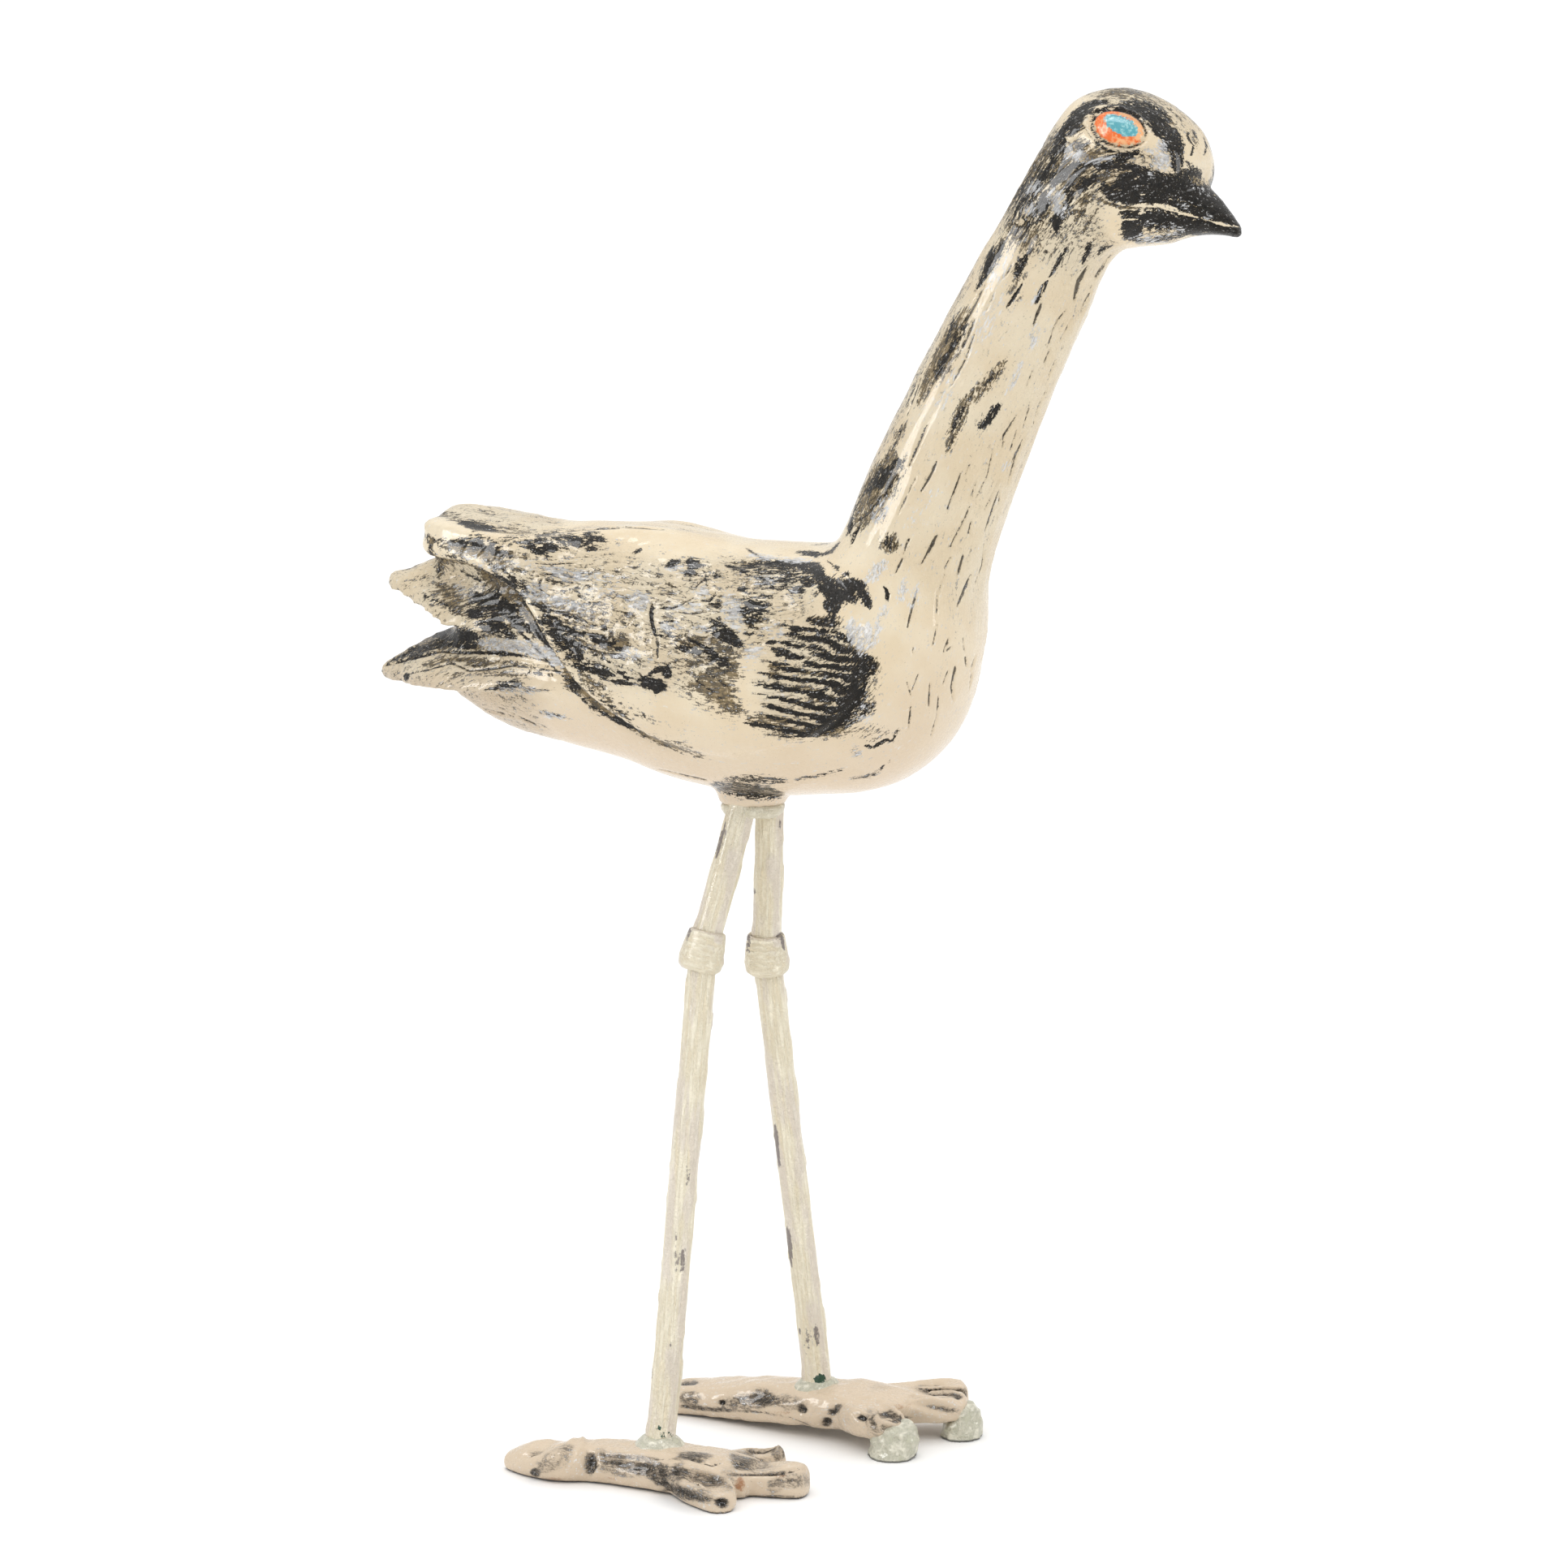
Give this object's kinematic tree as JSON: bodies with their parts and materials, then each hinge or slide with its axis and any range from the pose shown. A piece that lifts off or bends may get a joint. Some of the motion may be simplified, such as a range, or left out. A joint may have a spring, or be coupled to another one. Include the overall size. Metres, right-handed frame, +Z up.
{
  "type": "pottery shore bird figure",
  "caption": "Glazed pottery shore bird with a long neck and short dark beak, on painted steel rod legs with knee collars and broad pottery feet.",
  "frame": {"origin": "on the ground, under the middle of the whole figure's box", "axes": "+X the way the bird faces, +Y its left side, +Z up"},
  "size_m": [0.438, 0.1942, 0.6639],
  "materials": {
    "glazed_body": "glossy cream glaze with black oxide wiped over it",
    "glazed_feet": "glossy pinkish cream glaze with dark hollows",
    "painted_legs": "thick brushed ivory paint, semi-gloss, worn to lilac grey in places",
    "cream_putty": "hand-pressed filler, satin",
    "green_putty": "hand-pressed pale green-grey filler, satin"
  },
  "bodies": {
    "root": {"bird_body": "glazed_body", "right_foot": "glazed_feet", "left_foot": "glazed_feet", "right_upper_leg": "painted_legs", "right_knee_collar": "painted_legs", "right_lower_leg": "painted_legs", "left_upper_leg": "painted_legs", "left_knee_collar": "painted_legs", "left_lower_leg": "painted_legs", "hip_putty": "cream_putty", "right_ankle_putty": "green_putty", "left_ankle_putty": "green_putty", "left_inner_toe_pad": "green_putty", "left_middle_toe_pad": "green_putty"}
  },
  "joints": []
}
